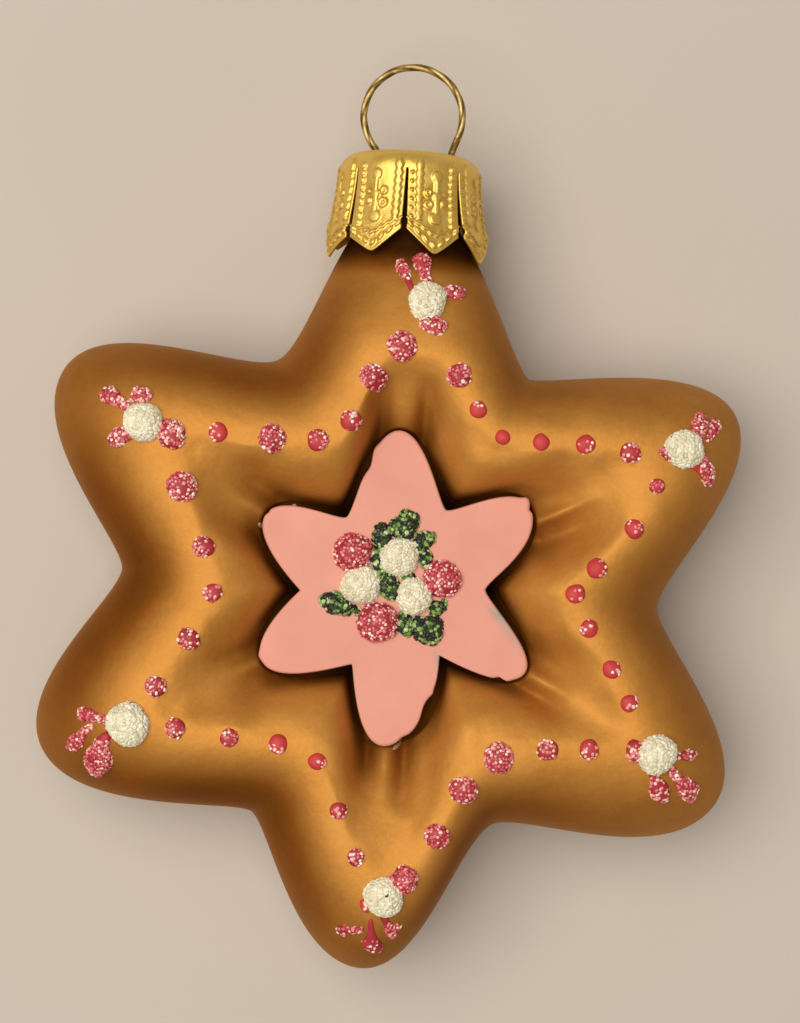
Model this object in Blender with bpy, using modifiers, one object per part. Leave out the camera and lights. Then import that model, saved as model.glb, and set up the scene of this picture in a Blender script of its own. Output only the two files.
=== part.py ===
"""A blown glass tree ornament in the form of an iced gingerbread star with six arms.

It lies on its back, face up. +Y runs from the star to its hanging ring and +Z is up. The
origin is the middle of the star, on the flat of its back. Lengths named here are in metres,
and those in the tables are in millimetres.
"""

import math

import bmesh
import bpy
import numpy as np
from mathutils import Matrix, Vector
from mathutils.bvhtree import BVHTree

MM = 0.001
GAP = 0.35 * MM

# Levels of the glass body.
RIM_Z = 12.5 * MM
CREST_Z = 24.5 * MM
FLOOR_Z = 16.0 * MM
ICING_TOP_Z = 19.8 * MM

# Each knot of a loop: angle in degrees, radius, handle length, turn of the tangent in degrees.
# A loop starts at the arm on the upper right and goes round by arm, notch, arm, notch.
OUTLINE_KNOTS = (
    (30.2, 42.45, 7.5, 0),
    (60.1, 27.7, 2.0, 3),
    (90.5, 43.8, 6.8, 0),
    (119.5, 28.1, 4.0, -5),
    (149.5, 43.2, 8.1, 4),
    (178.5, 29.5, 3.0, 4),
    (208.1, 41.9, 8.2, 4),
    (241.1, 28.6, 2.4, -2),
    (268.2, 41.5, 7.4, -5),
    (297.7, 28.0, 4.0, -12),
    (329.0, 42.6, 8.5, -7),
    (359.8, 29.35, 3.4, -1),
)
CREST_KNOTS = (
    (28.4, 30.7, 4.8, 7),
    (59.1, 20.2, 3.1, 2),
    (87.5, 26.4, 5.0, 4),
    (114.8, 17.6, 4.4, -5),
    (147.5, 27.4, 3.1, 3),
    (180.1, 18.6, 4.5, 8),
    (209.9, 27.8, 3.7, -3),
    (245.7, 18.9, 4.3, 0),
    (271.7, 30.1, 4.9, -12),
    (301.8, 20.7, 4.8, 11),
    (332.2, 30.4, 2.5, -15),
    (362.5, 19.5, 1.8, -4),
)
ICING_KNOTS = (
    (32.2, 17.5, 4.2, -20),
    (58.9, 10.7, 1.0, -4),
    (90.3, 17.35, 3.1, 6),
    (123.3, 9.3, 1.0, -3),
    (151.6, 15.7, 3.1, 1),
    (182.2, 9.65, 0.1, 0),
    (211.8, 15.6, 3.2, -1),
    (245.6, 8.8, 0.3, 0),
    (275.9, 16.2, 5.3, 25),
    (311.3, 8.7, 0.1, 0),
    (331.5, 16.9, 2.9, -13),
    (364.5, 10.3, 1.0, -5),
)
POINTS_PER_SPAN = 10
FLANK_RINGS = 6
WALL_RINGS = 7
BACK_RINGS = 5
BACK_FLAT_SHARE = 0.62
FOOT_MARGINS = (0.42, 1.15)
FOOT_HANDLE = 0.6
FOOT_INSET = 0.985
ARM_FOOT_RISE = 3.0 * MM

# The valley that runs out along each arm: where it starts, its direction in degrees, the half
# width and rise of the rib in its middle, then the depth, half width and length of the groove
# on its anticlockwise and its clockwise side.
VALLEYS = (
    (15.4, 8.4, 26, 0.6, 1.1, (0.9, 1.4, 6.0), (2.6, 1.9, 9.0)),
    (0.45, 17.2, 90, 1.4, 0.5, (2.6, 1.0, 6.0), (2.6, 1.0, 6.5)),
    (-13.8, 7.5, 150, 1.0, 0.8, (1.4, 1.5, 5.5), (2.0, 1.5, 6.5)),
    (-13.3, -8.2, 208, 0.8, 0.5, (1.3, 1.5, 5.0), (1.1, 1.0, 6.0)),
    (0.5, -16.4, 270, 1.05, 0.4, (2.4, 1.0, 7.5), (2.4, 1.1, 6.0)),
    (15.4, -7.9, 335, 0.8, 0.9, (1.8, 1.8, 6.5), (1.8, 1.1, 6.5)),
)

# The upper arm narrows to the neck, which the cap covers.
NECK_TAPER_Y = (25.0 * MM, 38.0 * MM)
NECK_TAPER = 0.29
NECK_RADIUS = 5.9 * MM
NECK_Y = (33.0 * MM, 44.6 * MM)

# Dots along the crest: place along the loop, counted in knots, and diameter.
CREST_DOTS = (
    (0.20, 2.3), (0.45, 2.1), (0.68, 1.8), (0.94, 1.6), (1.29, 1.9), (1.57, 2.7),
    (2.10, 3.3), (2.43, 3.0), (2.77, 2.3), (3.08, 2.4), (3.35, 3.1), (3.65, 2.1),
    (4.38, 3.4), (4.75, 2.4), (5.07, 2.1), (5.41, 2.5), (5.77, 2.4), (6.23, 2.3),
    (6.54, 2.1), (6.80, 2.1), (7.11, 1.9), (7.45, 1.9), (7.75, 2.0), (8.18, 2.4),
    (8.51, 2.8), (8.80, 3.1), (9.12, 3.4), (9.40, 2.4), (9.62, 2.2), (10.32, 1.9),
    (10.50, 2.0), (10.72, 2.0), (11.04, 2.1), (11.30, 2.2), (11.58, 2.1), (11.87, 1.8),
)
# A flower on each arm: place and diameter of its middle, then its petals, which are drops. Each
# has its tail and its tip, seen from the flower's middle, its width, the share of its length
# that is its fat end, and the share of its width at the tail.
FLOWERS = (
    (30.1, 16.9, 4.1, (
        ((1.7, 1.0), (1.7, 4.0), 1.8, 0.85, 0.5),
        ((2.6, 1.0), (3.8, 3.5), 1.3, 0.7, 0.4),
        ((0.9, -1.5), (2.7, -2.4), 0.9, 0.6, 0.8),
        ((2.2, -0.7), (3.1, -3.5), 1.7, 0.9, 0.5),
        ((0.0, -0.2), (-2.5, -0.5), 1.6, 0.8, 0.5))),
    (2.2, 31.0, 4.1, (
        ((-1.5, 0.9), (-3.2, 4.5), 1.3, 0.5, 0.45),
        ((0.0, 1.7), (-1.0, 5.35), 1.9, 0.5, 0.5),
        ((1.5, 1.3), (3.9, 1.3), 1.6, 0.85, 0.5),
        ((-0.5, -2.3), (2.1, -2.8), 1.9, 1, 0))),
    (-26.9, 16.5, 4.2, (
        ((-1.6, 1.5), (-4.8, 3.1), 1.9, 0.65, 0.5),
        ((-1.6, 3.0), (0.6, 2.7), 1.7, 1, 0),
        ((-1.4, -1.1), (-3.6, -2.2), 2.0, 1, 0),
        ((1.6, -0.3), (4.4, -1.8), 3.0, 1, 0))),
    (-26.7, -15.3, 4.6, (
        ((-1.6, 0.1), (-5.6, 0.8), 1.4, 0.5, 0.6),
        ((-4.0, -0.3), (-6.5, -3.5), 1.5, 0.6, 0.5),
        ((-2.6, -1.2), (-3.4, -5.8), 3.0, 0.75, 0.5))),
    (1.2, -31.9, 4.2, (
        ((-2.0, -3.8), (-4.6, -4.3), 1.2, 0.5, 0.55),
        ((-1.2, -2.5), (-0.9, -6.3), 2.2, 0.4, 0.25),
        ((0.0, -1.8), (1.3, -4.7), 0.9, 0.5, 0.9),
        ((0.7, -3.9), (1.9, -3.1), 0.7, 0.6, 0.8),
        ((0.8, 0.5), (3.1, 2.9), 2.6, 1, 0),
        ((-1.0, -0.7), (-2.4, -1.4), 1.5, 1, 0))),
    (29.0, -15.3, 4.2, (
        ((1.6, -0.3), (4.5, 0.1), 1.2, 0.6, 0.45),
        ((1.3, -1.3), (4.9, -4.7), 2.0, 0.6, 0.4),
        ((-0.2, -1.8), (1.2, -5.1), 2.1, 0.8, 0.5),
        ((-1.0, 0.1), (-3.3, 0.4), 2.2, 1, 0))),
)
# The posy in the middle of the icing: balls as place and diameter, leaves as place, length,
# width and direction in degrees.
BALLS = (
    (-4.2, 4.0, 4.3), (5.5, 1.7, 4.2), (-1.1, -3.3, 4.5),
    (0.8, 3.8, 4.2), (-3.1, 0.6, 4.2), (2.6, -0.3, 3.9),
)
LEAVES = (
    (1.2, 7.3, 3.3, 2.7, 80), (-1.1, 5.9, 2.6, 2.2, 110), (3.2, 5.5, 2.8, 2.0, 70),
    (3.6, 3.8, 1.9, 1.5, 90), (-5.7, -1.6, 3.4, 2.3, 165), (-1.5, 3.3, 3.2, 1.6, 115),
    (-0.1, 0.6, 3.4, 2.0, 112), (1.9, 1.75, 1.6, 0.7, 15), (-3.4, -2.15, 0.9, 0.8, 60),
    (5.2, -1.4, 2.1, 1.4, 20), (4.3, -3.8, 3.6, 2.9, 310), (1.8, -3.3, 2.5, 1.8, 95),
)
DOT_RISE = 0.27
BALL_RISE = 0.42
LEAF_RISE = 0.36
DAB_SINK = 0.05 * MM

# The crown cap: eight tabs hang from its pressed top.
TAB_COUNT = 8
CAP_X = -0.45 * MM
CAP_TOP_Y = 47.6 * MM
CAP_TOP_RADIUS = 5.7 * MM
CAP_SHOULDER = 2.0 * MM
CAP_SLIT_Y = 45.5 * MM
# How far up the mouth of each slit is, from the front one on. Then each tab's tip: the share
# of its width it stands at, how far up it is and how far out it flares.
CAP_MOUTHS_Y = (38.9, 38.4, 38.3, 38.5, 38.5, 38.8, 38.6, 37.9)
CAP_TIPS = (
    (0.53, 36.4, 0.9), (0.5, 36.0, 1.3), (0.5, 36.6, 1.1), (0.5, 36.5, 0.9),
    (0.5, 36.5, 0.9), (0.5, 37.4, 0.9), (0.35, 36.0, 1.0), (0.47, 36.4, 0.9),
)
CAP_SHEET = 0.45 * MM
SLIT_HALF_ANGLES = (0.8, 2.2)
CAP_TURN = -1.9
WIRE_RADIUS = 0.41 * MM
SLOT_RADIUS = WIRE_RADIUS + 0.3 * MM
RING_RADIUS = 5.42 * MM
RING_Y = 52.1 * MM
RING_LEG_ANGLES = (48, 70)
RING_LEGS_X = (-3.65 * MM, 4.25 * MM)
RING_STEP_ANGLE = 12
RING_BEND_STEPS = 4
RING_LEG_END_Y = 45.8 * MM

COLORS = {
    "glass_star": (0.52, 0.27, 0.06, 0.35, 0.7),
    "pink_star": (0.78, 0.34, 0.27, 0.55, 0.0),
    "cap": (0.68, 0.45, 0.13, 0.35, 1.0),
    "ring": (0.45, 0.33, 0.14, 0.4, 1.0),
}


def clear_scene():
    for obj in list(bpy.data.objects):
        bpy.data.objects.remove(obj, do_unlink=True)


def new_collection(name):
    collection = bpy.data.collections.new(name)
    bpy.context.scene.collection.children.link(collection)
    return collection


def new_material(name):
    red, green, blue, roughness, metallic = COLORS[name]
    material = bpy.data.materials.new(name)
    material.use_nodes = True
    shader = material.node_tree.nodes["Principled BSDF"]
    shader.inputs["Base Color"].default_value = (red, green, blue, 1)
    shader.inputs["Roughness"].default_value = roughness
    shader.inputs["Metallic"].default_value = metallic
    return material


def object_from(mesh_builder, name, collection):
    """A new object that holds the bmesh, which this frees."""
    mesh = bpy.data.meshes.new(name)
    mesh_builder.to_mesh(mesh)
    mesh_builder.free()
    mesh.shade_smooth()
    mesh.set_sharp_from_angle(angle=math.radians(40))
    obj = bpy.data.objects.new(name, mesh)
    collection.objects.link(obj)
    return obj


def smooth(value):
    value = np.clip(value, 0, 1)
    return value * value * (3 - 2 * value)


def knot_frame(knot):
    """The knot's point, and its tangent scaled to the handle length, in metres."""
    angle, radius, handle, turn = knot
    around = math.radians(angle)
    along = math.radians(angle + 90 + turn)
    point = np.array((math.cos(around), math.sin(around))) * radius * MM
    tangent = np.array((math.cos(along), math.sin(along))) * handle * MM
    return point, tangent


def loop_point(knots, place):
    """The point of the closed Bezier loop at this place, counted in knots."""
    index = int(place) % len(knots)
    start, out = knot_frame(knots[index])
    end, back = knot_frame(knots[(index + 1) % len(knots)])
    t = place - int(place)
    return (
        start * (1 - t) ** 3
        + (start + out) * 3 * (1 - t) ** 2 * t
        + (end - back) * 3 * (1 - t) * t**2
        + end * t**3
    )


def loop_points(knots, places):
    return np.array([loop_point(knots, place) for place in places])


def widened(knots):
    """The foot of the recess wall: a softer loop just outside the icing."""
    return [
        (angle, radius + FOOT_MARGINS[index % 2], handle + FOOT_HANDLE, turn / 2)
        for index, (angle, radius, handle, turn) in enumerate(knots)
    ]


def tapered(points):
    """The points with their height pulled towards the rim level where the arm meets the neck."""
    start, end = NECK_TAPER_Y
    keep = 1 - NECK_TAPER * smooth((points[:, 1] - start) / (end - start))
    points[:, 2] = RIM_Z + (points[:, 2] - RIM_Z) * keep
    return points


def valley_relief(flat):
    """How far the ribs and grooves of the arms raise these points."""
    total = np.zeros(len(flat))
    for x, y, degrees, rib_width, rib_rise, *grooves in VALLEYS:
        turn = math.radians(degrees)
        offset = flat / MM - (x, y)
        out = offset @ (math.cos(turn), math.sin(turn))
        aside = offset @ (-math.sin(turn), math.cos(turn))
        starts = smooth((out + 3) / 3)
        length = max(groove[2] for groove in grooves)
        total += rib_rise * starts * (1 - smooth(out / length)) * np.exp(-((aside / rib_width) ** 2))
        for side, (depth, half_width, length) in zip((1, -1), grooves):
            across = (side * aside - rib_width - half_width) / half_width
            ends = 1 - smooth((out - 0.35 * length) / (0.65 * length))
            total -= depth * starts * ends * np.exp(-(across**2))
    return total * MM


def star_rings():
    """Rings of the glass from the flat of the back, round the rim and over the crest, to the
    floor of the recess."""
    places = np.arange(len(OUTLINE_KNOTS) * POINTS_PER_SPAN) / POINTS_PER_SPAN
    outline = loop_points(OUTLINE_KNOTS, places)
    crest = loop_points(CREST_KNOTS, places)
    foot = loop_points(widened(ICING_KNOTS), places)
    in_arm = (0.5 + 0.5 * np.cos(math.pi * places)) ** 1.5
    rings = []
    for step in range(BACK_RINGS):
        turn = math.pi / 2 * (1 - step / BACK_RINGS)
        flat = outline * (BACK_FLAT_SHARE + (1 - BACK_FLAT_SHARE) * math.cos(turn))
        rings.append((flat, np.full(len(flat), RIM_Z * (1 - math.sin(turn)))))
    for step in range(FLANK_RINGS):
        turn = math.pi / 2 * step / FLANK_RINGS
        flat = crest + (outline - crest) * math.cos(turn)
        rings.append((flat, np.full(len(flat), RIM_Z + (CREST_Z - RIM_Z) * math.sin(turn))))
    for step in range(WALL_RINGS + 1):
        share = step / WALL_RINGS
        flat = crest + (foot - crest) * share
        notch_fall = (1 - math.sqrt(1 - (0.98 * share) ** 2)) / (1 - math.sqrt(1 - 0.98**2))
        notch_level = CREST_Z - (CREST_Z - FLOOR_Z) * notch_fall
        arm_level = CREST_Z - (CREST_Z - FLOOR_Z - ARM_FOOT_RISE) * share**1.7
        level = notch_level + (arm_level - notch_level) * in_arm
        level += valley_relief(flat) * smooth(share / 0.25)
        rings.append((flat, np.clip(level, FLOOR_Z, CREST_Z)))
    rings.append((foot * FOOT_INSET, np.full(len(foot), FLOOR_Z)))
    return [tapered(np.column_stack(ring)) for ring in rings]


def lofted(rings, first_middle, last_middle):
    """A closed bmesh through the rings, closed to a point in the middle of each end."""
    builder = bmesh.new()
    rows = [[builder.verts.new(point) for point in ring] for ring in rings]
    count = len(rows[0])
    for lower, upper in zip(rows, rows[1:]):
        for i in range(count):
            j = (i + 1) % count
            builder.faces.new((lower[i], lower[j], upper[j], upper[i]))
    bottom = builder.verts.new(first_middle)
    top = builder.verts.new(last_middle)
    for i in range(count):
        j = (i + 1) % count
        builder.faces.new((bottom, rows[0][j], rows[0][i]))
        builder.faces.new((top, rows[-1][i], rows[-1][j]))
    bmesh.ops.recalc_face_normals(builder, faces=builder.faces)
    return builder


def surface_of(obj):
    builder = bmesh.new()
    builder.from_mesh(obj.data)
    tree = BVHTree.FromBMesh(builder)
    builder.free()
    return tree


def drop_width(u, fat, thin):
    """The width of a drop, as a share of its full width, at u: -1 at its tail, 1 at its tip."""
    middle = 1 - fat
    if u >= middle:
        return math.sqrt(max(1 - ((u - middle) / fat) ** 2, 0))
    head = math.sqrt(max(1 - ((u - middle) / fat) ** 2, 0))
    widening = thin + (1 - thin) * ((u + 1) / (1 + middle)) ** 3
    return max(head, widening * math.sqrt(min((u + 1) / 0.2, 1)))


def dab(tree, tail, tip, width, rise, sides, fat=1.0, thin=0.0):
    """A drop of icing from tail to tip, draped over the surface and half sunk in it."""
    tail = np.array(tail) * MM
    tip = np.array(tip) * MM
    length = np.linalg.norm(tip - tail)
    along = (tip - tail) / length
    across = np.array((-along[1], along[0]))
    builder = bmesh.new()
    bmesh.ops.create_uvsphere(
        builder, u_segments=sides, v_segments=sides // 2 + 1, radius=1
    )
    for vert in builder.verts:
        u, v, w = vert.co
        girth = drop_width(min(max(u, -1), 1), fat, thin) / max(math.hypot(v, w), 1e-6)
        spot = (tail + tip) / 2 + u * length / 2 * along + v * girth * width * MM / 2 * across
        hit, normal, _, _ = tree.ray_cast(Vector((*spot, 0.1)), Vector((0, 0, -1)))
        vert.co = hit + normal * (w * girth * width * rise * MM - DAB_SINK)
    return builder


def ball(tree, x, y, diameter, rise, sides):
    """A round dab over the place (x, y)."""
    half = diameter / 2
    return dab(tree, (x - half, y), (x + half, y), diameter, rise, sides)


def leaf(tree, x, y, length, width, degrees):
    """A long dab in this direction over the place (x, y)."""
    turn = math.radians(degrees)
    reach = np.array((math.cos(turn), math.sin(turn))) * length / 2
    return dab(tree, (x, y) - reach, (x, y) + reach, width, LEAF_RISE, 8)


def fuse(obj, builders):
    """Joins the dabs to the object, which applies its Boolean and drops the loose objects."""
    helpers = new_collection(obj.name + "_dabs")
    for index, builder in enumerate(builders):
        object_from(builder, f"{obj.name}_dab_{index}", helpers)
    union = obj.modifiers.new("dabs", "BOOLEAN")
    union.operation = "UNION"
    union.operand_type = "COLLECTION"
    union.collection = helpers
    graph = bpy.context.evaluated_depsgraph_get()
    joined = bpy.data.meshes.new_from_object(obj.evaluated_get(graph))
    obj.modifiers.clear()
    obj.data = joined
    for helper in list(helpers.objects):
        bpy.data.objects.remove(helper, do_unlink=True)
    bpy.data.collections.remove(helpers)


def neck():
    start, end = NECK_Y
    builder = bmesh.new()
    bmesh.ops.create_cone(
        builder,
        cap_ends=True,
        segments=32,
        radius1=NECK_RADIUS,
        radius2=NECK_RADIUS,
        depth=end - start,
    )
    place = Matrix.Translation((CAP_X, (start + end) / 2, RIM_Z))
    builder.transform(place @ Matrix.Rotation(math.radians(-90), 4, "X"))
    return builder


def star_dabs(tree):
    for place, diameter in CREST_DOTS:
        x, y = loop_point(CREST_KNOTS, place) / MM
        yield ball(tree, x, y, diameter, DOT_RISE, 8)
    for x, y, diameter, petals in FLOWERS:
        yield ball(tree, x, y, diameter, BALL_RISE, 12)
        middle = np.array((x, y))
        for tail, tip, width, fat, thin in petals:
            yield dab(tree, middle + tail, middle + tip, width, LEAF_RISE, 8, fat, thin)


def build_glass_star(collection):
    rings = star_rings()
    builder = lofted(rings, (0, 0, 0), (0, 0, FLOOR_Z))
    star = object_from(builder, "glass_star", collection)
    tree = surface_of(star)
    fuse(star, [neck(), *star_dabs(tree)])
    return star


def build_pink_star(collection):
    places = np.arange(len(ICING_KNOTS) * POINTS_PER_SPAN) / POINTS_PER_SPAN
    edge = loop_points(ICING_KNOTS, places)
    low = FLOOR_Z + GAP
    rings = [(edge * 0.97, low), (edge, ICING_TOP_Z - 0.6 * MM)]
    rings.append((edge * 0.985, ICING_TOP_Z - 0.12 * MM))
    rings.append((edge * 0.93, ICING_TOP_Z))
    solid = [np.column_stack((flat, np.full(len(flat), level))) for flat, level in rings]
    builder = lofted(solid, (0, 0, low), (0, 0, ICING_TOP_Z))
    icing = object_from(builder, "pink_star", collection)
    tree = surface_of(icing)
    posy = [ball(tree, x, y, diameter, BALL_RISE, 12) for x, y, diameter in BALLS]
    posy += [leaf(tree, *measures) for measures in LEAVES]
    fuse(icing, posy)
    return icing


def cap_point(angle, radius, y):
    """A point of the cap from its angle about the neck's axis, 0 facing up."""
    around = math.radians(angle + CAP_TURN)
    return (CAP_X + radius * math.sin(around), y, RIM_Z + radius * math.cos(around))


def cap_rows():
    """Radius and level of the cap's closed rows, from the middle of its top to the slits."""
    rows = [(CAP_TOP_RADIUS * share, CAP_TOP_Y) for share in (0.45, 0.8, 1.0)]
    for turn in (30, 60, 90):
        lean = math.radians(turn)
        radius = CAP_TOP_RADIUS + CAP_SHOULDER * math.sin(lean)
        rows.append((radius, CAP_TOP_Y - CAP_SHOULDER * (1 - math.cos(lean))))
    rows.append((CAP_TOP_RADIUS + CAP_SHOULDER, CAP_SLIT_Y))
    return rows


def tab_angle_at(tab, share, level):
    """The angle of a place across a tab, level 0 at the top of the slits and 1 at the tips."""
    narrow, wide = SLIT_HALF_ANGLES
    slit = narrow + (wide - narrow) * level
    width = 360 / TAB_COUNT
    return tab * width + slit + (width - 2 * slit) * share


def build_cap(collection):
    """The cap as one open sheet with its tabs, given the thickness of the pressed metal."""
    builder = bmesh.new()
    tips = [(0, at / 2, at, (1 + at) / 2, 1) for at, _, _ in CAP_TIPS]
    angles = [tab_angle_at(tab, share, 0) for tab in range(TAB_COUNT) for share in tips[tab]]
    rows = [
        [builder.verts.new(cap_point(angle, radius, y)) for angle in angles]
        for radius, y in cap_rows()
    ]
    count = len(angles)
    middle = builder.verts.new(cap_point(0, 0, CAP_TOP_Y))
    for i in range(count):
        builder.faces.new((middle, rows[0][i], rows[0][(i + 1) % count]))
    for upper, lower in zip(rows, rows[1:]):
        for i in range(count):
            j = (i + 1) % count
            builder.faces.new((upper[i], lower[i], lower[j], upper[j]))
    wall_radius = CAP_TOP_RADIUS + CAP_SHOULDER
    for tab, (_, tip_y, flare) in enumerate(CAP_TIPS):
        shares = tips[tab]
        first = tab * len(shares)
        above = rows[-1][first : first + len(shares)]
        left, right = CAP_MOUTHS_Y[tab], CAP_MOUTHS_Y[(tab + 1) % TAB_COUNT]
        ends = (left, (left + tip_y) / 2, tip_y, (right + tip_y) / 2, right)
        for level in (0.35, 0.7, 1.0):
            radius = wall_radius + flare * MM * level**1.5
            row = []
            for share, end in zip(shares, ends):
                y = CAP_SLIT_Y - (CAP_SLIT_Y - end * MM) * level
                point = cap_point(tab_angle_at(tab, share, level), radius, y)
                row.append(builder.verts.new(point))
            for i in range(len(shares) - 1):
                builder.faces.new((above[i], row[i], row[i + 1], above[i + 1]))
            above = row
    bmesh.ops.recalc_face_normals(builder, faces=builder.faces)
    cap = object_from(builder, "cap", collection)
    sheet = cap.modifiers.new("sheet", "SOLIDIFY")
    sheet.thickness = CAP_SHEET
    sheet.offset = -1
    return cap


def cut_slots(cap, cutters):
    for index, x in enumerate(RING_LEGS_X):
        builder = bmesh.new()
        bmesh.ops.create_cone(
            builder,
            cap_ends=True,
            segments=12,
            radius1=SLOT_RADIUS,
            radius2=SLOT_RADIUS,
            depth=3 * MM,
        )
        place = Matrix.Translation((CAP_X + x, CAP_TOP_Y, RIM_Z))
        builder.transform(place @ Matrix.Rotation(math.radians(-90), 4, "X"))
        cutter = object_from(builder, f"slot_cutter_{index}", cutters)
        cutter.hide_render = True
        cutter.display_type = "WIRE"
        slot = cap.modifiers.new("slot", "BOOLEAN")
        slot.operation = "DIFFERENCE"
        slot.object = cutter


def leg_path(start, lean, x):
    """Points of a leg from the circle's end, which it leaves along lean, down into its slot."""
    slot = np.array((x, CAP_TOP_Y))
    path = []
    for step in range(1, RING_BEND_STEPS + 1):
        t = step / RING_BEND_STEPS
        path.append(
            start * (1 - t) ** 3
            + (start + lean * np.linalg.norm(slot - start) / 3) * 3 * (1 - t) ** 2 * t
            + (slot + (start - slot) / 3) * 3 * (1 - t) * t**2
            + slot * t**3
        )
    return [*path, np.array((x, RING_LEG_END_Y))]


def ring_path():
    """Points along the wire: a leg, most of a circle, and the other leg."""
    left, right = RING_LEG_ANGLES
    steps = round((360 - left - right) / RING_STEP_ANGLE)
    arc = []
    for step in range(steps + 1):
        around = math.radians(left + (360 - left - right) * step / steps)
        arc.append(np.array((-math.sin(around), -math.cos(around))))
    circle = [np.array((0, RING_Y)) + RING_RADIUS * point for point in arc]
    leans = [np.array((-arc[0][1], arc[0][0])), np.array((arc[-1][1], -arc[-1][0]))]
    left_leg = leg_path(circle[0], leans[0], RING_LEGS_X[0])
    right_leg = leg_path(circle[-1], leans[1], RING_LEGS_X[1])
    return [*reversed(left_leg), *circle, *right_leg]


def build_ring(collection):
    """The hanging wire, whose legs go down through the slots."""
    path = ring_path()
    curve = bpy.data.curves.new("ring", "CURVE")
    curve.dimensions = "3D"
    curve.bevel_depth = WIRE_RADIUS
    curve.bevel_resolution = 2
    curve.use_fill_caps = True
    spline = curve.splines.new("POLY")
    spline.points.add(len(path) - 1)
    for point, (x, y) in zip(spline.points, path):
        point.co = (CAP_X + x, y, RIM_Z, 1)
    ring = bpy.data.objects.new("ring", curve)
    collection.objects.link(ring)
    return ring


def main():
    clear_scene()
    ornament = new_collection("star_ornament")
    cutters = new_collection("cutters")
    star = build_glass_star(ornament)
    icing = build_pink_star(ornament)
    cap = build_cap(ornament)
    cut_slots(cap, cutters)
    ring = build_ring(ornament)
    for obj in (star, icing, cap, ring):
        obj.data.materials.clear()
        obj.data.materials.append(new_material(obj.name))


main()
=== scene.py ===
"""The looks of the star ornament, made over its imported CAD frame.

The ornament lies on its back, face up, with +Y towards its hanging ring and +Z up. The origin
is the middle of the star on the flat of its back. Lengths are in metres, and those in the
tables are in millimetres, as in the part's own source, whose loops and levels are kept here.
"""

import itertools
import math

import bpy
import numpy as np
from mathutils import Matrix, Vector, noise
from mathutils.bvhtree import BVHTree


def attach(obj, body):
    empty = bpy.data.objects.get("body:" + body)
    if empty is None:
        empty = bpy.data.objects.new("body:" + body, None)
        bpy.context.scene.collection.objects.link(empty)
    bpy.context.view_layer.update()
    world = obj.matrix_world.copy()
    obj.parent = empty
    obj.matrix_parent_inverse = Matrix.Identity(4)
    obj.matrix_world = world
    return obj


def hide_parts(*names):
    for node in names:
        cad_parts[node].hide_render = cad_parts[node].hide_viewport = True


MM = 0.001
SEED = 24

# Levels of the glass body.
RIM_Z = 12.5 * MM
CREST_Z = 24.5 * MM
FLOOR_Z = 16.0 * MM
ICING_TOP_Z = 19.8 * MM
ICING_GAP = 0.35 * MM
ICING_ROUND_OVER = 0.35 * MM
# How wide the icing is at its foot for its width above, and about how far out its edge is.
ICING_FOOT = 0.97
ICING_RADIUS = 14 * MM

# Shades painted on the lacquer, from 0 for bare gold to 1 for the darkest: of the back, the rim,
# the flanks, the recess wall and its corners, and how much lighter the arms are than the notches.
# The rim and flanks are partly airbrushed brown and partly painted shade; the recess wall, its
# corners and the darker notches are painted shade. Then how fast the shade thins out towards the
# upper right, as painted light on the side that the lamp leaves darker.
BACK_SHADE = 0.2
RIM_SHADE = 0.25
FLANK_SHADE = 0.5
WALL_SHADE = 0.45
CORNER_SHADE = 0.9
ARM_LIGHTENING = 0.45
PAINTED_SHADE_LEAN = np.array((0.35, 0.2)) / (30 * MM)

# Each knot of a loop: angle in degrees, radius, handle length, turn of the tangent in degrees.
# A loop starts at the arm on the upper right and goes round by arm, notch, arm, notch.
OUTLINE_KNOTS = (
    (30.2, 42.45, 7.5, 0), (60.1, 27.7, 2.0, 3), (90.5, 43.8, 6.8, 0), (119.5, 28.1, 4.0, -5),
    (149.5, 43.2, 8.1, 4), (178.5, 29.5, 3.0, 4), (208.1, 41.9, 8.2, 4), (241.1, 28.6, 2.4, -2),
    (268.2, 41.5, 7.4, -5), (297.7, 28.0, 4.0, -12), (329.0, 42.6, 8.5, -7), (359.8, 29.35, 3.4, -1),
)
CREST_KNOTS = (
    (28.4, 30.7, 4.8, 7), (59.1, 20.2, 3.1, 2), (87.5, 26.4, 5.0, 4), (114.8, 17.6, 4.4, -5),
    (147.5, 27.4, 3.1, 3), (180.1, 18.6, 4.5, 8), (209.9, 27.8, 3.7, -3), (245.7, 18.9, 4.3, 0),
    (271.7, 30.1, 4.9, -12), (301.8, 20.7, 4.8, 11), (332.2, 30.4, 2.5, -15), (362.5, 19.5, 1.8, -4),
)
ICING_KNOTS = (
    (32.2, 17.5, 4.2, -20), (58.9, 10.7, 1.0, -4), (90.3, 17.35, 3.1, 6), (123.3, 9.3, 1.0, -3),
    (151.6, 15.7, 3.1, 1), (182.2, 9.65, 0.1, 0), (211.8, 15.6, 3.2, -1), (245.6, 8.8, 0.3, 0),
    (275.9, 16.2, 5.3, 25), (311.3, 8.7, 0.1, 0), (331.5, 16.9, 2.9, -13), (364.5, 10.3, 1.0, -5),
)
COLUMNS_PER_SPAN = 48
# Where the columns of points stand along each loop, counted in knots.
PLACES = np.arange(len(OUTLINE_KNOTS) * COLUMNS_PER_SPAN) / COLUMNS_PER_SPAN
BACK_RINGS = 14
FLANK_RINGS = 34
WALL_RINGS = 56
BACK_FLAT_SHARE = 0.62
FOOT_MARGINS = (0.42, 1.15)
FOOT_HANDLE = 0.6
FOOT_INSET = 0.985
ARM_FOOT_RISE = 3.0 * MM
# How high the narrow ledge at the wall's foot stays, as a share of the foot's own height.
FOOT_STEP = 0.8
# How the recess falls from the crest: how nearly as a quarter ellipse in the notches, and by
# which power of the way to its foot in the arms.
NOTCH_ROUNDNESS = 0.98
ARM_FALL_POWER = 1.7

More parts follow.
